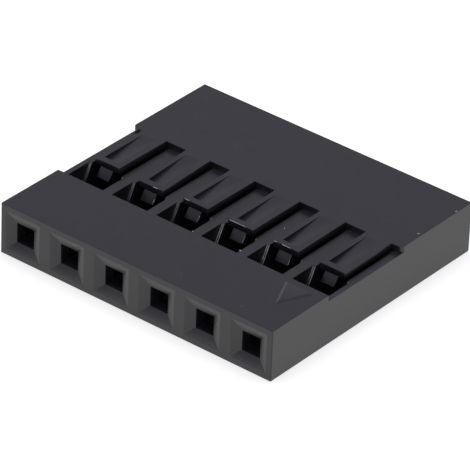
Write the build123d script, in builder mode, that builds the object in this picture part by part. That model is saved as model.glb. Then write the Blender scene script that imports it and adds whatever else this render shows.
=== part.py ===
from build123d import *
from math import atan2, cos, radians, sin, tan
import os

os.makedirs("parts", exist_ok=True)

# Housing for a row of crimped terminals on the 2.54 mm grid, moulded in one piece.
# X runs along the row and Y from the mating face to the wire face. Z points up from
# the flat underside, and the origin is the middle of the underside. Sizes are in mm.

# Body
ways = 6                    # cavities in the row
pitch = 2.54                # spacing of the cavities
length = 14.0               # mating face to wire face
height = 2.54               # underside to top face
front_corner_round = 0.06   # upright outer corners at the mating face
top_round = 0.02            # rims of the nose and the slab
underside_round = 0.04      # rim of the underside

# Terminal cavities
cavity_width = 1.74
floor = 0.32                # wall under each cavity
roof = 0.33                 # wall over each cavity
stop_wall = 0.75            # wall at the mating face that the terminal stops against

# Wire mouths: the cavities widen towards the wire face
mouth_wall = 0.29           # wall left round each mouth
mouth_depth = 3.20
mouth_taper = 0.60          # length over which the mouth narrows to the cavity
mouth_bevel = 0.10          # broken edge round the opening

# Mating face: a square pin hole at the bottom of a four-sided funnel
pin_hole = 0.98
pin_height = 1.25           # middle of the pin hole above the underside
funnel_size = 1.96          # side of the funnel's square mouth
funnel_depth = 0.20

# Latch recess, sunk across the whole row between the nose and the rear slab
nose_length = 3.80          # mating face to recess
recess_length = 5.12
recess_depth = 0.31
recess_corner_round = 0.22  # upright corners of the slab where the recess opens at the sides

# Latch windows in front of the tongues
window_width = 2.02
window_length = 1.84        # along the recess floor
window_lean = 28            # lean of the rear face, forwards at the bottom, in degrees

# Latch tongues: rooted in the slab, free at the front
tongue_width = 1.40
tongue_gap = 0.17           # slot on either side of the tongue
tongue_length = 3.26        # out of the slab
tongue_root = 0.50          # length buried in the slab
tongue_dip = 0.03           # drop of the tip below the top face
dip_length = 2.90           # length over which the tongue slopes down

# Hook under the tip of each tongue
hook_width = 0.72
hook_drop = 0.41            # below the cavity's roof
hook_lean = 0.32            # reach of the nose in front of the tip
hook_nose = 0.16            # flat along the bottom of the nose
hook_ramp = 1.20            # slope that the terminal lifts on its way in

# Shallow pocket in the top of each tongue: upright wall on the left, deepest at its
# front, and a floor that rises to the right as far as a short steep flank
pocket_side = 0.44          # middle of the tongue to the pocket's upright wall
pocket_width = 0.84         # upright wall to the top of the flank
pocket_length = 2.60
pocket_setback = 0.33       # tip of the tongue to the pocket
pocket_depth = 0.23         # foot of the upright wall at the front, below the top face
flank_depth = 0.045         # foot of the flank at the front, below the top face
flank_width = 0.04
pocket_rear_depth = 0.03    # both at the rear end

# Mark for the first circuit: a raised triangle that points to the mating face
mark_width = 1.56
mark_length = 1.72
mark_height = 0.05          # above the top face
mark_setback = 1.68         # mating face to the point of the triangle
mark_side_flank = 0.21      # plan width of the two sloping flanks beside the point
mark_rear_flank = 0.03      # plan width of the flank along the base

width = ways * pitch
mating_face = -length / 2
wire_face = length / 2
cavity_height = height - floor - roof
cavity_roof = height - roof
cavity_middle = floor + cavity_height / 2
mouth_width = pitch - 2 * mouth_wall
mouth_height = height - 2 * mouth_wall
recess_floor = height - recess_depth
recess_front = mating_face + nose_length
recess_rear = recess_front + recess_length
slab_length = wire_face - recess_rear
window_rear = recess_front + window_length
window_reach = (recess_floor - floor) * tan(radians(window_lean))
tip = recess_rear - tongue_length
pocket_front = tip + pocket_setback
first_circuit = (width - pitch) / 2
mark_angle = atan2(mark_width / 2, mark_length)
crest_front = mark_side_flank / sin(mark_angle)
crest_rear = mark_length - mark_rear_flank
crest_side = crest_rear * tan(mark_angle) - mark_side_flank / cos(mark_angle)

mating_plane = Plane.XZ.offset(-mating_face)
wire_plane = Plane.XZ.offset(-wire_face)

# Terminal cavity, shaped as the cores that form it
with BuildPart() as cavity:
    # From the wire face: bevel, mouth, taper and the cavity up to the stop wall
    for depth, middle, wide, high in (
        (0, height / 2, mouth_width + 2 * mouth_bevel, mouth_height + 2 * mouth_bevel),
        (mouth_bevel, height / 2, mouth_width, mouth_height),
        (mouth_depth, height / 2, mouth_width, mouth_height),
        (mouth_depth + mouth_taper, cavity_middle, cavity_width, cavity_height),
        (length - stop_wall, cavity_middle, cavity_width, cavity_height),
    ):
        with BuildSketch(wire_plane.offset(depth)):
            with Locations((0, middle)):
                Rectangle(wide, high)
    loft(ruled=True)

    # From the mating face: funnel and pin hole
    for depth, middle, size in (
        (0, height / 2, funnel_size),
        (funnel_depth, pin_height, pin_hole),
        (stop_wall, pin_height, pin_hole),
    ):
        with BuildSketch(mating_plane.offset(-depth)):
            with Locations((0, middle)):
                Rectangle(size, size)
    loft(ruled=True)

# Latch window, down to the floor of the cavity, and the slots beside the tongue
with BuildPart() as window:
    with BuildSketch(Plane.YZ):
        with BuildLine():
            Polyline(
                (recess_front, recess_floor),
                (window_rear, recess_floor),
                (window_rear - window_reach, floor),
                (recess_front, floor),
                close=True,
            )
        make_face()
    extrude(amount=window_width / 2, both=True)
    with BuildSketch(Plane.XY.offset(cavity_middle)):
        with Locations((0, (recess_front + recess_rear) / 2)):
            Rectangle(tongue_width + 2 * tongue_gap, recess_length)
    extrude(amount=recess_floor - cavity_middle)

# Latch tongue with its hook and its pocket
with BuildPart() as tongue:
    with BuildSketch(Plane.YZ):
        with BuildLine():
            Polyline(
                (recess_rear + tongue_root, height),
                (tip + dip_length, height),
                (tip, height - tongue_dip),
                (tip, cavity_roof),
                (recess_rear + tongue_root, cavity_roof),
                close=True,
            )
        make_face()
    extrude(amount=tongue_width / 2, both=True)

    with BuildSketch(Plane.YZ):
        with BuildLine():
            Polyline(
                (tip, cavity_roof),
                (tip - hook_lean, cavity_roof - hook_drop),
                (tip - hook_lean + hook_nose, cavity_roof - hook_drop),
                (tip - hook_lean + hook_nose + hook_ramp, cavity_roof),
                close=True,
            )
        make_face()
    extrude(amount=hook_width / 2, both=True)

    for run, wall_foot, flank_foot in (
        (0, pocket_depth, flank_depth),
        (pocket_length, pocket_rear_depth, pocket_rear_depth),
    ):
        with BuildSketch(Plane.XZ.offset(-pocket_front - run)):
            with BuildLine():
                Polyline(
                    (-pocket_side, height),
                    (-pocket_side, height - wall_foot),
                    (pocket_width - pocket_side - flank_width, height - flank_foot),
                    (pocket_width - pocket_side, height),
                    close=True,
                )
            make_face()
    loft(ruled=True, mode=Mode.SUBTRACT)

with BuildPart() as housing:
    # Base plate of the body, with the nose and the rear slab standing on it
    with BuildSketch() as outline:
        Rectangle(width, length)
        fillet(outline.vertices().group_by(Axis.Y)[0], front_corner_round)
    extrude(amount=recess_floor)
    with BuildSketch(Plane.XY.offset(recess_floor)) as storey:
        with Locations((0, mating_face + nose_length / 2)):
            Rectangle(width, nose_length)
        with Locations((0, wire_face - slab_length / 2)):
            Rectangle(width, slab_length)
        fillet(storey.vertices().group_by(Axis.Y)[0], front_corner_round)
        fillet(storey.vertices().group_by(Axis.Y)[-2], recess_corner_round)
    extrude(amount=recess_depth)
    fillet(housing.edges().group_by(Axis.Z)[-1], top_round)
    fillet(housing.edges().group_by(Axis.Z)[0], underside_round)

    # Terminal cavities and latch windows
    with GridLocations(pitch, 0, ways, 1):
        add(cavity.part, mode=Mode.SUBTRACT)
        add(window.part, mode=Mode.SUBTRACT)

    # Latch tongues
    with GridLocations(pitch, 0, ways, 1):
        add(tongue.part)

    # Mark for the first circuit, from its outline on the top face to its flat crest
    for level, front, side, rear in (
        (height, 0, mark_width / 2, mark_length),
        (height + mark_height, crest_front, crest_side, crest_rear),
    ):
        with BuildSketch(Plane.XY.offset(level)):
            with Locations((first_circuit, mating_face + mark_setback)):
                Polygon((0, front), (side, rear), (-side, rear), align=None)
    loft(ruled=True)

housing.part.label = "housing"
export_step(housing.part, "parts/housing.step")
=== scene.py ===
import math

import bmesh
import bpy
import numpy as np
from mathutils import Matrix, Vector


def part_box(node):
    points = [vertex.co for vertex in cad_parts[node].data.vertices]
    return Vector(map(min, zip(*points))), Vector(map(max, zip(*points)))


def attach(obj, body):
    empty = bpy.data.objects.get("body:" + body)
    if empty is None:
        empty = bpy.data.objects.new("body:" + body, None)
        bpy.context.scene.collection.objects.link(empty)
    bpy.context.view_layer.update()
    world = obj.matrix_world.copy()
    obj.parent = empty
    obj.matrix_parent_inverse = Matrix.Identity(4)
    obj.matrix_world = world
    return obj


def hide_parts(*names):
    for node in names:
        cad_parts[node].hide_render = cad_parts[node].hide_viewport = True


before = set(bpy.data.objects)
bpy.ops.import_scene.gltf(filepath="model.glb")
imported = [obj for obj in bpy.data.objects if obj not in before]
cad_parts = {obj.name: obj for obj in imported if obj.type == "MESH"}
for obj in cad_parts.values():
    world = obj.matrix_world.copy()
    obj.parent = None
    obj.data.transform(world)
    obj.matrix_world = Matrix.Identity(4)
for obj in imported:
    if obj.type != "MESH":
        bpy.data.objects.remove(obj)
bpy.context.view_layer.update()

# Sizes and places are in mm, unless a comment says otherwise. Meshes are in metres.
MM = 0.001

# Camera
AIM = Vector((0.0805, -0.1723, 0.9740))
DISTANCE = 200.65
BEARING = math.radians(37.890)       # from the middle of the mating face towards the marked end
ELEVATION = math.radians(32.065)
ROLL = math.radians(2.410)
LENS = 349.48
SENSOR = 36.0

# Light and table
SKY = (0.8725, 0.85, 1.0)
SKY_STRENGTH = 0.4775
SOFT_BOX_HEIGHT = 700
SOFT_BOX_SIDE = 600
SOFT_BOX_POWER = 3.4                 # in watts
TABLE_SIDE = 1200
SEEN_WHITE = 0.53                    # the table's own white, to the camera
SEEN_UNLIT = 0.33                    # share of its lit white that the camera doesn't see
MIRRORED_WHITE = 0.75                # its own white in gloss, in place of as much of its lit white

# The housing's box, and the places in it that its drawn sizes give
WAYS = 6
LOW, HIGH = (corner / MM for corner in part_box("housing"))
SIDE = HIGH.x                        # middle of the row to either end of it
PITCH = 2 * SIDE / WAYS
MATING_FACE = LOW.y
MARK_CREST = HIGH.z
TOP = MARK_CREST - 0.05
RECESS_FLOOR = TOP - 0.31
RECESS_FRONT = MATING_FACE + 3.80
RECESS_REAR = RECESS_FRONT + 5.12
CAVITY_ROOF = TOP - 0.33
WINDOW_SIDE = 1.01                   # middle of a window to its side wall
WINDOW_REAR = RECESS_FRONT + 1.84
WINDOW_LEAN = math.radians(28)       # lean of its rear face, forwards at the bottom
TONGUE_SIDE = 0.70                   # middle of a tongue to its side
TONGUE_TIP = RECESS_REAR - 3.26
SLOT_SIDE = TONGUE_SIDE + 0.17       # middle of a tongue to the outer side of its slots
DIP = 0.03                           # drop of a tongue's tip below the top face
DIP_START = TONGUE_TIP + 2.90        # where the top of a tongue starts to slope down to its tip
HOOK_SIDE = 0.36                     # middle of a hook to its side
HOOK_DROP = 0.41                     # foot of a hook below the cavity's roof
HOOK_LEAN = 0.32                     # reach of a hook in front of the tip
POCKET_SIDE = 0.44                   # middle of a tongue to either side of its pocket, at most
POCKET_FRONT = TONGUE_TIP + 0.33
POCKET_REAR = POCKET_FRONT + 2.60
MARK_MIDDLE = SIDE - PITCH / 2
MARK_POINT = MATING_FACE + 1.68
MARK_LENGTH = 1.72
MARK_HALF = 0.78                     # middle of the mark to either end of its base

# How the moulding departs from its drawn sizes
TONGUE_LIFTS = (0.05, -0.08, 0.06, 0.04, 0.01, 0.01)   # of each tip above its place, plain end first
POCKET_END = 0.002                   # depth of a pocket at its rear end, where it runs out
MARK_FLANK = 0.13                    # plan width of the flanks beside the mark's point
MARK_REAR_FLANK = 0.03               # plan width of the flank along its base

# Finish of the moulding
BROKEN_EDGE = 0.014                  # width of the tiny round that the moulded corners have
ROUND_STEP = 0.12                    # faces narrower than this are steps of a larger round
LEAST_CORNER = math.radians(12)
SHARP_CORNER = math.radians(30)
SPECK_HEIGHT = 0.006
SCUFF_DEPTH = 0.0012
NEAR = 0.001                         # places closer than this count as one


def make_camera():
    """The camera looks along the ray from its place, given by bearing, elevation and distance, to the aim."""
    back = Vector((
        math.cos(ELEVATION) * math.sin(BEARING),
        -math.cos(ELEVATION) * math.cos(BEARING),
        math.sin(ELEVATION),
    ))
    data = bpy.data.cameras.new("camera")
    data.lens = LENS
    data.sensor_width = SENSOR
    data.clip_start = 0.01           # in metres, as the next
    data.clip_end = 10.0
    camera = bpy.data.objects.new("camera", data)
    turn = back.to_track_quat("Z", "Y").to_matrix() @ Matrix.Rotation(ROLL, 3, "Z")
    camera.matrix_world = Matrix.Translation((AIM + back * DISTANCE) * MM) @ turn.to_4x4()
    bpy.context.scene.collection.objects.link(camera)
    bpy.context.scene.camera = camera


# Shader tools

class Sheet:
    """A node tree that is filled in from left to right."""

    def __init__(self, tree):
        self.tree = tree

    def add(self, kind, feeds=None, **settings):
        """A node with its settings, and with a link or a value for each socket that feeds names."""
        node = self.tree.nodes.new(kind)
        for name, value in settings.items():
            setattr(node, name, value)
        for socket, source in (feeds or {}).items():
            self.feed(node.inputs[socket], source)
        return node

    def feed(self, target, source):
        if isinstance(source, bpy.types.NodeSocket):
            self.tree.links.new(source, target)
        else:
            target.default_value = source

    def group(self, tree, feeds):
        return self.add("ShaderNodeGroup", feeds, node_tree=tree).outputs

    def math(self, operation, *terms, clamp=False):
        feeds = dict(enumerate(terms))
        return self.add("ShaderNodeMath", feeds, operation=operation, use_clamp=clamp).outputs[0]

    def vector(self, operation, *terms):
        return self.add("ShaderNodeVectorMath", dict(enumerate(terms)), operation=operation).outputs[0]

    def noise(self, place, scale, detail=2.0, roughness=0.5):
        feeds = {"Vector": place, "Scale": scale, "Detail": detail, "Roughness": roughness}
        return self.add("ShaderNodeTexNoise", feeds).outputs["Fac"]

    def span(self, value, low, high, to_low=0.0, to_high=1.0, smooth=True):
        feeds = {"Value": value, "From Min": low, "From Max": high, "To Min": to_low, "To Max": to_high}
        kind = "SMOOTHSTEP" if smooth else "LINEAR"
        return self.add("ShaderNodeMapRange", feeds, interpolation_type=kind).outputs["Result"]

    def mix(self, share, first, second, way="MIX"):
        """Two colours mixed. On a Mix node, sockets 6 and 7 take the colours and output 2 gives one."""
        feeds = {"Factor": share, 6: first, 7: second}
        return self.add("ShaderNodeMix", feeds, data_type="RGBA", blend_type=way).outputs[2]


def new_group(name, inputs, outputs):
    """An empty node group with named sockets: its sheet, and the sockets of its input and output nodes."""
    tree = bpy.data.node_groups.new(name, "ShaderNodeTree")
    for label, value in inputs.items():
        kind = "NodeSocketVector" if isinstance(value, tuple) else "NodeSocketFloat"
        tree.interface.new_socket(label, in_out="INPUT", socket_type=kind).default_value = value
    for label in outputs:
        tree.interface.new_socket(label, in_out="OUTPUT", socket_type="NodeSocketFloat")
    sheet = Sheet(tree)
    return sheet, sheet.add("NodeGroupInput").outputs, sheet.add("NodeGroupOutput").inputs


def moulded_skin():
    """
    The skin of a moulded face. Place is in mm.
    Cloud is slow noise, some 2 mm across, for the sheen that drifts over a face.
    Flow is noise drawn out along the part, as the melt ran. Grain is fine noise from the tool steel.
    Height adds the three, each times its own depth, in mm.
    """
    sheet, given, gives = new_group(
        "moulded skin",
        {"Place": (0.0, 0.0, 0.0), "Cloud Depth": 0.004, "Flow Depth": 0.0008, "Grain Depth": 0.0006},
        ("Cloud", "Flow", "Grain", "Height"),
    )
    cloud = sheet.noise(given["Place"], scale=0.55, detail=3.0, roughness=0.55)
    drawn = sheet.vector("MULTIPLY", given["Place"], (3.2, 0.7, 3.2))
    flow = sheet.noise(drawn, scale=1.0, detail=3.0, roughness=0.6)
    grain = sheet.noise(given["Place"], scale=13.0, detail=3.0, roughness=0.65)
    height = sheet.math("MULTIPLY", cloud, given["Cloud Depth"])
    height = sheet.math("MULTIPLY_ADD", flow, given["Flow Depth"], height)
    height = sheet.math("MULTIPLY_ADD", grain, given["Grain Depth"], height)
    for label, value in (("Cloud", cloud), ("Flow", flow), ("Grain", grain), ("Height", height)):
        sheet.feed(gives[label], value)
    return sheet.tree


def handling():
    """
    What handling leaves. Place is in mm.
    Specks are the middles of a few cells of a random cell pattern, cut at a small ragged radius.
    Scuffs are the thin level lines of a noise drawn out in one direction, broken up by a slower noise.
    """
    sheet, given, gives = new_group(
        "handling",
        {"Place": (0.0, 0.0, 0.0), "Speck Radius": 0.035, "Speck Share": 0.25, "Scuff Width": 0.006},
        ("Specks", "Scuffs"),
    )
    cells_per_mm = 1.15
    feeds = {"Vector": given["Place"], "Scale": cells_per_mm, "Randomness": 1.0}
    cells = sheet.add("ShaderNodeTexVoronoi", feeds, feature="F1")
    lot = sheet.add("ShaderNodeSeparateColor", {"Color": cells.outputs["Color"]}).outputs["Red"]
    chosen = sheet.math("LESS_THAN", lot, given["Speck Share"])
    ragged = sheet.noise(given["Place"], scale=22.0, detail=1.0)
    far = sheet.math("DIVIDE", cells.outputs["Distance"], cells_per_mm)
    far = sheet.math("MULTIPLY_ADD", sheet.math("SUBTRACT", ragged, 0.5), 0.05, far)
    near = sheet.math("SUBTRACT", 1.0, sheet.math("DIVIDE", far, given["Speck Radius"]), clamp=True)
    specks = sheet.math("MULTIPLY", sheet.span(near, 0.0, 0.45), chosen)

    turned = sheet.add("ShaderNodeVectorRotate", {"Vector": given["Place"], "Angle": 0.62}).outputs[0]
    drawn = sheet.vector("MULTIPLY", turned, (0.22, 2.6, 2.6))
    drawn_noise = sheet.noise(drawn, scale=1.0, detail=1.0, roughness=0.4)
    level = sheet.math("ABSOLUTE", sheet.math("SUBTRACT", drawn_noise, 0.5))
    line = sheet.math("SUBTRACT", 1.0, sheet.math("DIVIDE", level, given["Scuff Width"]), clamp=True)
    gaps = sheet.span(sheet.noise(given["Place"], scale=0.9), 0.50, 0.66)
    scuffs = sheet.math("MULTIPLY", line, gaps)
    sheet.feed(gives["Specks"], specks)
    sheet.feed(gives["Scuffs"], scuffs)
    return sheet.tree


def edge_wear():
    """
    Wear on a corner that rubs: where a slow noise is high the corner is burnished, and a fine noise
    breaks the edge of the patch. Where a finish pales these patches, the paleness is partly wear and partly a
    painted highlight. Height is in mm, and dents the corner where the fine noise is low.
    """
    sheet, given, gives = new_group(
        "edge wear",
        {"Place": (0.0, 0.0, 0.0), "Amount": 0.5, "Dent Depth": 0.001},
        ("Worn", "Height"),
    )
    patch = sheet.noise(given["Place"], scale=1.6)
    fine = sheet.noise(given["Place"], scale=11.0, roughness=0.6)
    both = sheet.math("MULTIPLY_ADD", sheet.math("SUBTRACT", fine, 0.5), 0.5, patch)
    start = sheet.math("SUBTRACT", 0.85, sheet.math("MULTIPLY", given["Amount"], 0.6))
    worn = sheet.span(both, start, sheet.math("ADD", start, 0.18))
    sheet.feed(gives["Worn"], worn)
    sheet.feed(gives["Height"], sheet.math("MULTIPLY", fine, given["Dent Depth"]))
    return sheet.tree


SKIN = moulded_skin()
HANDLING = handling()
WEAR = edge_wear()


def black_nylon(name, base, pale, roughness, index, worn=0.0, painted_light_heights=None):
    """
    Black nylon. base is its plain colour, and pale the colour of specks, scuffs and worn places. Its
    tone drifts by up to a fifth with the cloud and the flow, and its roughness with cloud and grain.
    worn is how much of the surface is rubbed; on the rubbed edges, the leaning strips and the flash, the pale
    worn places are partly a painted highlight. painted_light_heights gives two heights in mm, from the lower
    to the upper of which the pale colour comes in, most of all where the surface is worn: a painted highlight
    near the top that gives way to painted shade lower down.
    """
    material = bpy.data.materials.new(name)
    material.use_nodes = True
    sheet = Sheet(material.node_tree)
    bsdf = material.node_tree.nodes["Principled BSDF"]
    place = sheet.add("ShaderNodeTexCoord").outputs["Object"]
    place = sheet.vector("MULTIPLY", place, (1 / MM, 1 / MM, 1 / MM))
    skin = sheet.group(SKIN, {"Place": place})
    marks = sheet.group(HANDLING, {"Place": place})
    wear = sheet.group(WEAR, {"Place": place, "Amount": worn})

    drift = sheet.math("MULTIPLY_ADD", skin["Flow"], 0.5, sheet.math("MULTIPLY", skin["Cloud"], 0.5))
    tone = sheet.span(drift, 0.3, 0.7, 0.82, 1.18, smooth=False)
    grey = sheet.add("ShaderNodeCombineColor", {"Red": tone, "Green": tone, "Blue": tone}).outputs[0]
    plain = sheet.mix(1.0, (*base, 1.0), grey, way="MULTIPLY")

    # Rubbed patches go pale; on the rubbed edges, the leaning strips and the flash this is partly a painted
    # highlight
    rubbed = sheet.math("MULTIPLY", wear["Worn"], 0.6 if worn else 0.0)
    scuffed = sheet.math("MULTIPLY", marks["Scuffs"], 0.10)
    specked = sheet.math("MULTIPLY", marks["Specks"], 0.75)
    share = sheet.math("MAXIMUM", sheet.math("MAXIMUM", scuffed, specked), rubbed)
    # Painted light by height: paler higher up as a painted highlight, darker lower down as painted shade
    if painted_light_heights:
        high = sheet.add("ShaderNodeSeparateXYZ", {"Vector": place}).outputs["Z"]
        painted_depth_light = sheet.span(high, *painted_light_heights)
        broken = sheet.span(wear["Worn"], 0.0, 1.0, 0.45, 1.0)
        share = sheet.math("MAXIMUM", share, sheet.math("MULTIPLY", painted_depth_light, broken))
    sheet.feed(bsdf.inputs["Base Color"], sheet.mix(share, plain, (*pale, 1.0)))

    # Rougher where it is pale, and smoother where it is rubbed
    rough = sheet.math("MULTIPLY_ADD", sheet.math("SUBTRACT", skin["Cloud"], 0.5), 0.10, roughness)
    rough = sheet.math("MULTIPLY_ADD", sheet.math("SUBTRACT", skin["Grain"], 0.5), 0.12, rough)
    rough = sheet.math("MULTIPLY_ADD", share, 0.25, rough)
    rough = sheet.math("MULTIPLY_ADD", rubbed, -0.30, rough, clamp=True)
    sheet.feed(bsdf.inputs["Roughness"], rough)

    height = sheet.math("ADD", skin["Height"], wear["Height"])
    height = sheet.math("MULTIPLY_ADD", marks["Specks"], SPECK_HEIGHT, height)
    height = sheet.math("MULTIPLY_ADD", marks["Scuffs"], -SCUFF_DEPTH, height)
    bump = sheet.add("ShaderNodeBump", {"Height": height, "Strength": 1.0, "Distance": MM})
    sheet.feed(bsdf.inputs["Normal"], bump.outputs["Normal"])
    bsdf.inputs["IOR"].default_value = index
    return material


JET = (0.0132, 0.0125, 0.0150)
SOOT = (0.0125, 0.0122, 0.0130)
BLACK = black_nylon("black nylon, as moulded", JET, (0.16, 0.16, 0.15), 0.30, 1.58)
# The broken edges: their paler rubbed patches are partly wear and partly a painted highlight along the
# corners.
EDGE_WEAR_AND_HIGHLIGHT = black_nylon("black nylon, rubbed edges with painted highlight", SOOT, (0.030, 0.030, 0.030), 0.30, 1.58, worn=0.5)
# The leaning strips of the windows: pale partly as stretched plastic and partly as a painted highlight, which
# fades downwards into painted shade between 2.2 and 1.2 mm high.
STRETCHED_AND_HIGHLIT = black_nylon(
    "black nylon, stretched pale", SOOT, (0.11, 0.11, 0.105), 0.40, 1.56, worn=0.6, painted_light_heights=(1.2, 2.2)
)
POCKET = black_nylon("black nylon, eroded pocket", JET, (0.10, 0.10, 0.095), 0.34, 1.565)
# Painted highlight: the mark's flank towards the plain end, about three times lighter than the plain black.
MARK_FLANK_HIGHLIGHT = black_nylon("black nylon, mark flank with painted highlight", (0.042, 0.0415, 0.041), (0.10, 0.10, 0.095), 0.30, 1.58)
FINISHES = [BLACK, EDGE_WEAR_AND_HIGHLIGHT, STRETCHED_AND_HIGHLIT, POCKET, MARK_FLANK_HIGHLIGHT]       # of the housing, in the order of its slots
# The flash and crumbs are pale as a painted glint: their light colours stand in for the light the fins catch,
# brightest on the last three ways, the tongues and the crumbs.
FLASH_WITH_GLINT = black_nylon(
    "black nylon, thin flash with painted glint", (0.22, 0.216, 0.205), (0.34, 0.34, 0.32), 0.35, 1.56, worn=0.3
)
BRIGHT_FLASH_WITH_GLINT = black_nylon(
    "black nylon, stretched flash with painted glint", (0.52, 0.515, 0.50), (0.65, 0.65, 0.63), 0.35, 1.56, worn=0.3
)


# The housing

def middle(way):
    """Middle of a way along the row. The first way is at the plain end."""
    return (way - (WAYS - 1) / 2) * PITCH


def in_pocket(x, y, z):
    """Whether a place is inside the pocket of a tongue, below the tongue's sloping top."""
    across = (x / PITCH + WAYS / 2) % 1.0 * PITCH - PITCH / 2
    rim = TOP - DIP * np.clip((DIP_START - y) / (DIP_START - TONGUE_TIP), 0, 1)
    inside = (np.abs(across) < POCKET_SIDE + NEAR) & (y > POCKET_FRONT - NEAR) & (y < POCKET_REAR + NEAR)
    return inside & (z < rim - 0.006) & (z > CAVITY_ROOF)


def run_out_pockets(work):
    """The rear end of each pocket's floor raised, so that the pocket runs out in the tongue's top."""
    for corner in work.verts:
        x, y, z = corner.co / MM
        if abs(y - POCKET_REAR) < 0.05 and in_pocket(x, y, z):
            corner.co.z = (TOP - POCKET_END) * MM


def steepen_mark(work):
    """
    The crest of the mark drawn nearer to its outline, so that its flanks catch the light. The crest is
    the outline's triangle with each side moved in by the plan width of its flank.
    """
    half_angle = math.atan2(MARK_HALF, MARK_LENGTH)
    front = MARK_FLANK / math.sin(half_angle)
    rear = MARK_LENGTH - MARK_REAR_FLANK
    side = rear * math.tan(half_angle) - MARK_FLANK / math.cos(half_angle)
    for corner in work.verts:
        x, y, z = corner.co / MM
        if z > MARK_CREST - 0.01:
            at_point = abs(x - MARK_MIDDLE) < 0.05
            across = 0.0 if at_point else math.copysign(side, x - MARK_MIDDLE)
            along = front if at_point else rear
            corner.co.x = (MARK_MIDDLE + across) * MM
            corner.co.y = (MARK_POINT + along) * MM


def is_plain(face):
    """Whether a face is no step of a larger round: it is wide, or it belongs to the mark."""
    width = face.calc_area() / max(edge.calc_length() for edge in face.edges)
    return width > ROUND_STEP * MM or face.calc_center_median().z > (TOP + 0.002) * MM


def set_edges(work):
    """
    A corner between two plain faces gets a bevel weight. The steps of the larger rounds get none, and
    stay smooth, and so does the twisted floor of a pocket. The edges of the two sides get none either,
    as a bevel would run past the small rounds at their ends, and they stay sharp.
    """
    weight = work.edges.layers.float.new("bevel_weight_edge")
    plain = {face: is_plain(face) for face in work.faces}
    for edge in work.edges:
        turn = edge.calc_face_angle()
        half_way = (edge.verts[0].co + edge.verts[1].co) / 2 / MM
        between_plain = all(plain[face] for face in edge.link_faces)
        on_floor = in_pocket(*half_way) and all(face.normal.z > 0.9 for face in edge.link_faces)
        on_side = all(SIDE - abs(end.co.x) / MM < NEAR for end in edge.verts)
        broken = between_plain and turn > LEAST_CORNER and not (on_floor or on_side)
        edge[weight] = 1.0 if broken else 0.0
        edge.smooth = (between_plain and not on_side) or turn < SHARP_CORNER


def merged_copy(node, name):
    """
    The node's loose triangles joined at their shared corners, and made whole faces where they lie in
    one plane, with the pockets run out, the mark's flanks steeper and the edges set for the bevel.
    """
    mesh = node.data.copy()
    mesh.name = name
    work = bmesh.new()
    work.from_mesh(mesh)
    bmesh.ops.remove_doubles(work, verts=work.verts, dist=1e-7)
    bmesh.ops.dissolve_limit(work, angle_limit=0.01, verts=work.verts, edges=work.edges)
    bmesh.ops.recalc_face_normals(work, faces=work.faces)
    steepen_mark(work)
    run_out_pockets(work)
    work.normal_update()
    for face in work.faces:
        face.smooth = True
    set_edges(work)
    work.to_mesh(mesh)
    work.free()
    piece = bpy.data.objects.new(name, mesh)
    bpy.context.scene.collection.objects.link(piece)
    return piece


def finish_faces(mesh):
    """
    Each face's finish, by its place and the way it faces. The leaning rear face of a window is pale, partly
    as stretched plastic and partly as a painted highlight, and the floor of a pocket has its own. The mark's
    flank towards the plain end is lighter, which is a painted highlight.
    and the floor of a pocket and the mark's flank towards the plain end have their own.
    """
    mesh.materials.clear()
    for material in FINISHES:
        mesh.materials.append(material)
    count = len(mesh.polygons)
    normals = np.empty(count * 3)
    centres = np.empty(count * 3)
    mesh.polygons.foreach_get("normal", normals)
    mesh.polygons.foreach_get("center", centres)
    normals = normals.reshape(count, 3)
    x, y, z = centres.reshape(count, 3).T / MM
    lean = np.array((0.0, -math.cos(WINDOW_LEAN), math.sin(WINDOW_LEAN)))
    # The leaning faces take the pale finish, which is partly a painted highlight
    leaning = (normals @ lean > 0.999) & (y > RECESS_FRONT) & (y < WINDOW_REAR + 0.1)
    pocket_floor = in_pocket(x, y, z) & (normals[:, 2] > 0.9)
    # Painted highlight on the mark's flank that faces the plain end
    painted_highlight_flank = (z > TOP + 0.01) & (normals[:, 0] < -0.2)
    own = [FINISHES.index(material) for material in (STRETCHED_AND_HIGHLIT, POCKET, MARK_FLANK_HIGHLIGHT)]
    finish = np.select([leaning, pocket_floor, painted_highlight_flank], own, FINISHES.index(BLACK))
    mesh.polygons.foreach_set("material_index", finish.astype(np.int32))


def spring_tongues(mesh):
    """
    No two tongues stand quite level. Each point of a tongue moves up by the lift of its tip, times how
    far it is in front of the start of the slope, over the slope's length.
    """
    places = np.empty(len(mesh.vertices) * 3, dtype=np.float32)
    mesh.vertices.foreach_get("co", places)
    places = places.reshape(-1, 3) / MM
    x, y, z = places.T
    sprung = (y < DIP_START) & (y > TONGUE_TIP - HOOK_LEAN - 0.08) & (z > CAVITY_ROOF - HOOK_DROP - 0.1)
    for way, lift in enumerate(TONGUE_LIFTS):
        on_tongue = sprung & (np.abs(x - middle(way)) < TONGUE_SIDE + 0.01)
        z[on_tongue] += lift * (DIP_START - y[on_tongue]) / (DIP_START - TONGUE_TIP)
    mesh.vertices.foreach_set("co", (places * MM).ravel())
    mesh.update()


def dress_housing(node):
    """The housing with its faces finished, its tongues sprung and its corners broken."""
    piece = merged_copy(node, "housing_moulding")
    finish_faces(piece.data)
    spring_tongues(piece.data)

    broken = piece.modifiers.new("broken edges", "BEVEL")
    broken.width = BROKEN_EDGE * MM
    broken.segments = 2
    broken.limit_method = "WEIGHT"
    broken.use_clamp_overlap = False
    # The bevel takes the rubbed-edge finish, whose pale patches are partly a painted highlight
    broken.material = FINISHES.index(EDGE_WEAR_AND_HIGHLIGHT)
    flat = piece.modifiers.new("flat faces", "WEIGHTED_NORMAL")
    flat.keep_sharp = True
    return piece


# Flash and crumbs

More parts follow.
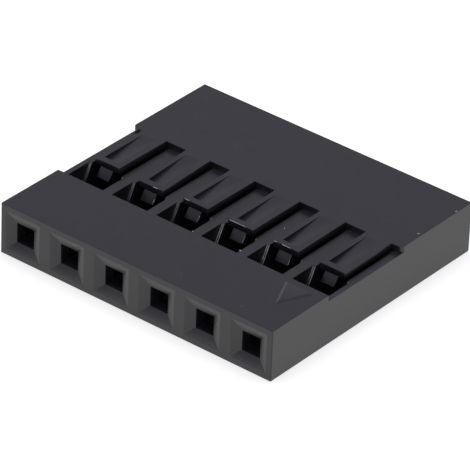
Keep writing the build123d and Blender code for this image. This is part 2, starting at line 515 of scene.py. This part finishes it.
def uneven(steps, seed, knots):
    """An uneven height from 0.25 to 1 along a line: random knots joined by straight runs."""
    heights = np.random.default_rng(seed).uniform(0.25, 1.0, knots)
    return np.interp(np.linspace(0, 1, steps), np.linspace(0, 1, knots), heights)


def fin(start, end, stands, across, proud, half, seed, steps=28):
    """
    A thin fin of flash: a three-cornered section carried along a straight line. The section's foot is
    half wide on either side and sinks a little into the face, and its ridge stands proud times an uneven
    height that falls to nothing at both ends. Gives corners and faces.
    """
    start, end, stands, across = (np.asarray(v, float) for v in (start, end, stands, across))
    t = np.linspace(0, 1, steps)[:, None]
    line = start + (end - start) * t
    taper = np.sqrt(np.clip(np.sin(np.pi * t), 0, 1))
    rise = proud * uneven(steps, seed, max(5, steps // 3))[:, None] * taper
    sway = (uneven(steps, seed + 500, max(4, steps // 4))[:, None] - 0.6) * half * 0.8
    foot = half * (0.35 + 0.65 * taper)
    sunk = 0.006
    left = line - foot * across - sunk * stands
    ridge = line + rise * stands + sway * across
    right = line + foot * across - sunk * stands
    corners = np.stack((left, ridge, right), axis=1).reshape(-1, 3)

    first = np.arange(steps - 1)[:, None] * 3
    sides = [
        np.hstack((first + a, first + b, first + 3 + b, first + 3 + a))
        for a, b in ((0, 1), (1, 2), (2, 0))
    ]
    ends = [(2, 1, 0), (3 * steps - 3, 3 * steps - 2, 3 * steps - 1)]
    return corners, np.vstack(sides).tolist() + ends


def flake(centre, size, seed, rings=5, around=10):
    """
    A crumb of plastic: a low closed dome on a grid of two angles, its radius uneven by two harmonics.
    size is its reach along x, y and z. Gives corners and faces.
    """
    lift = np.linspace(-0.5, 0.5, rings)[:, None] * math.pi * 0.96
    turn = np.linspace(0, 2 * math.pi, around, endpoint=False)[None, :]
    a, b = np.random.default_rng(seed).uniform(0, 2 * math.pi, 2)
    reach = 1 + 0.25 * np.sin(2 * turn + a) + 0.12 * np.sin(3 * turn + b)
    x = np.cos(lift) * np.cos(turn) * reach
    y = np.cos(lift) * np.sin(turn) * reach
    z = np.sin(lift) * np.ones_like(turn)
    corners = np.stack((x, y, z), axis=-1).reshape(-1, 3) * np.asarray(size) / 2 + np.asarray(centre)

    ring, step = np.indices((rings - 1, around))
    here = ring * around + step
    beside = ring * around + (step + 1) % around
    sides = np.stack((here, beside, beside + around, here + around), axis=-1).reshape(-1, 4)
    bottom = list(reversed(range(around)))
    top = list(range((rings - 1) * around, rings * around))
    return corners, sides.tolist() + [bottom, top]


def on_lean(x, z):
    """A point of the leaning rear face of a window at height z."""
    return (x, WINDOW_REAR - (RECESS_FLOOR - z) * math.tan(WINDOW_LEAN), z)


def window_flash(ways):
    """Fins on both edges of the leaning strip at the left of some windows, where the tool's halves met."""
    stands = (0.0, -math.cos(WINDOW_LEAN), math.sin(WINDOW_LEAN))
    across = (1.0, 0.0, 0.0)
    # How proud the inner fin stands and how low it reaches, then the same of the outer fin
    strips = (
        (0.020, 1.55, 0.010, 1.80), (0.030, 1.45, 0.014, 1.60), (0.026, 1.50, 0.012, 1.70),
        (0.042, 1.35, 0.036, 1.40), (0.040, 1.40, 0.020, 1.55), (0.030, 1.45, 0.012, 1.60),
    )
    high = RECESS_FLOOR - 0.01
    shapes = []
    for way in ways:
        inner, inner_low, outer, outer_low = strips[way]
        for x, proud, low, half, seed in (
            (middle(way) - SLOT_SIDE - 0.02, inner, inner_low, 0.020, 11 + way),
            (middle(way) - WINDOW_SIDE + 0.02, outer, outer_low, 0.016, 31 + way),
        ):
            shapes.append(fin(on_lean(x, high), on_lean(x, low), stands, across, proud, half, seed))
    return shapes


def tongue_flash():
    """Fins on the front rims of the tongues, and beside the hooks, where the real moulding has them."""
    shapes = []
    for way, left, right, proud in (
        (3, -0.66, 0.30, 0.030), (4, -0.20, 0.25, 0.028), (4, -0.68, -0.50, 0.020),
        (2, -0.62, -0.35, 0.014), (1, 0.10, 0.40, 0.010),
    ):
        rim = TOP - DIP - 0.005 + TONGUE_LIFTS[way]
        ends = [(middle(way) + side, TONGUE_TIP - 0.001, rim) for side in (left, right)]
        shapes.append(fin(*ends, (0.0, -0.8, 0.6), (0.0, 0.6, 0.8), proud, 0.014, 51 + way))
    for way, proud in ((1, 0.016), (2, 0.026), (3, 0.024), (4, 0.010)):
        x = middle(way) + HOOK_SIDE - 0.01
        roof = CAVITY_ROOF + TONGUE_LIFTS[way]
        upper = (x, TONGUE_TIP - 0.03, roof - 0.06)
        lower = (x, TONGUE_TIP - HOOK_LEAN * 0.93, roof - HOOK_DROP * 0.93)
        shapes.append(fin(upper, lower, (0.45, -0.70, 0.53), (0.85, 0.42, -0.30), proud, 0.013, 71 + way))
    return shapes


def crumbs():
    """A few crumbs of flash that stick in and beside the windows and on the top face."""
    places_and_sizes = (
        ((middle(3) + 1.02, RECESS_FRONT + 0.60, RECESS_FLOOR + 0.006), (0.10, 0.07, 0.05)),
        (on_lean(middle(4) - 0.98, 1.66), (0.07, 0.05, 0.06)),
        ((middle(3) - 1.00, RECESS_FRONT + 0.40, 2.02), (0.04, 0.06, 0.05)),
        ((middle(2) + 1.04, RECESS_FRONT + 0.42, RECESS_FLOOR + 0.006), (0.06, 0.05, 0.03)),
        ((middle(4) - 1.24, 0.12, RECESS_FLOOR + 0.004), (0.07, 0.06, 0.03)),
        ((middle(4) - 0.19, TONGUE_TIP + 0.01, TOP - 0.02), (0.07, 0.04, 0.04)),
        ((SIDE - 0.06, 5.92, TOP), (0.05, 0.09, 0.03)),
        ((SIDE - 0.18, 3.34, TOP), (0.07, 0.07, 0.02)),
    )
    return [flake(place, size, 91 + count) for count, (place, size) in enumerate(places_and_sizes)]


def joined(name, shapes, material):
    """One piece made of closed shapes, each given as corners and faces."""
    corners, faces, first = [], [], 0
    for points, cells in shapes:
        corners.append(points)
        faces += [tuple(first + k for k in cell) for cell in cells]
        first += len(points)
    mesh = bpy.data.meshes.new(name)
    mesh.from_pydata((np.vstack(corners) * MM).tolist(), [], faces)
    mesh.materials.append(material)
    work = bmesh.new()
    work.from_mesh(mesh)
    bmesh.ops.recalc_face_normals(work, faces=work.faces)
    work.to_mesh(mesh)
    work.free()
    mesh.polygons.foreach_set("use_smooth", np.ones(len(mesh.polygons), dtype=bool))
    piece = bpy.data.objects.new(name, mesh)
    bpy.context.scene.collection.objects.link(piece)
    return piece


# Studio

def make_floor():
    """
    A plain white table top. The camera, gloss and clear things see a white of its own, and a lit share
    beside it, so that it keeps a faint shadow.
    """
    half = TABLE_SIDE / 2 * MM
    corners = [(-half, -half, 0), (half, -half, 0), (half, half, 0), (-half, half, 0)]
    mesh = bpy.data.meshes.new("table_top")
    mesh.from_pydata(corners, [], [(0, 1, 2, 3)])
    floor = bpy.data.objects.new("table_top", mesh)
    bpy.context.scene.collection.objects.link(floor)
    material = bpy.data.materials.new("white table")
    material.use_nodes = True
    sheet = Sheet(material.node_tree)
    bsdf = material.node_tree.nodes["Principled BSDF"]
    bsdf.inputs["Base Color"].default_value = (0.95, 0.95, 0.95, 1)
    bsdf.inputs["Roughness"].default_value = 0.8
    path = sheet.add("ShaderNodeLightPath").outputs
    seen = path["Is Camera Ray"]
    mirrored = sheet.math("MAXIMUM", path["Is Glossy Ray"], path["Is Transmission Ray"])
    mirrored = sheet.math("MULTIPLY", mirrored, MIRRORED_WHITE)
    strength = sheet.math("MULTIPLY_ADD", seen, SEEN_WHITE, mirrored)
    unlit = sheet.math("MULTIPLY_ADD", seen, SEEN_UNLIT, mirrored)
    white = sheet.add("ShaderNodeEmission", {"Color": (1.0, 0.985, 0.965, 1), "Strength": strength})
    lit = sheet.add("ShaderNodeMixShader", {0: unlit, 1: bsdf.outputs[0]})
    mixed = sheet.add("ShaderNodeAddShader", {0: lit.outputs[0], 1: white.outputs[0]})
    sheet.feed(material.node_tree.nodes["Material Output"].inputs["Surface"], mixed.outputs[0])
    mesh.materials.append(material)


def make_light():
    """Even light from all round, and a large soft box overhead that adds to the diffuse light alone."""
    world = bpy.data.worlds.new("studio")
    bpy.context.scene.world = world
    world.use_nodes = True
    background = world.node_tree.nodes["Background"].inputs
    background["Color"].default_value = (*SKY, 1)
    background["Strength"].default_value = SKY_STRENGTH
    data = bpy.data.lights.new("overhead", "AREA")
    data.size = SOFT_BOX_SIDE * MM
    data.energy = SOFT_BOX_POWER
    overhead = bpy.data.objects.new("overhead", data)
    overhead.location.z = SOFT_BOX_HEIGHT * MM
    overhead.visible_glossy = False
    bpy.context.scene.collection.objects.link(overhead)


make_camera()
housing = dress_housing(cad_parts["housing"])
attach(housing, "root")
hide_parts("housing")
# The fins and crumbs take the flash finishes, whose pale colours are painted glints
for name, shapes, material in (
    ("window_flash", window_flash((0, 1, 2)), FLASH_WITH_GLINT),
    ("window_flash_bright_glint", window_flash((3, 4, 5)), BRIGHT_FLASH_WITH_GLINT),
    ("tongue_flash", tongue_flash(), BRIGHT_FLASH_WITH_GLINT),
    ("crumbs", crumbs(), BRIGHT_FLASH_WITH_GLINT),
):
    piece = joined(name, shapes, material)
    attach(piece, "root")
make_floor()
make_light()
bpy.context.scene.view_settings.view_transform = "Standard"
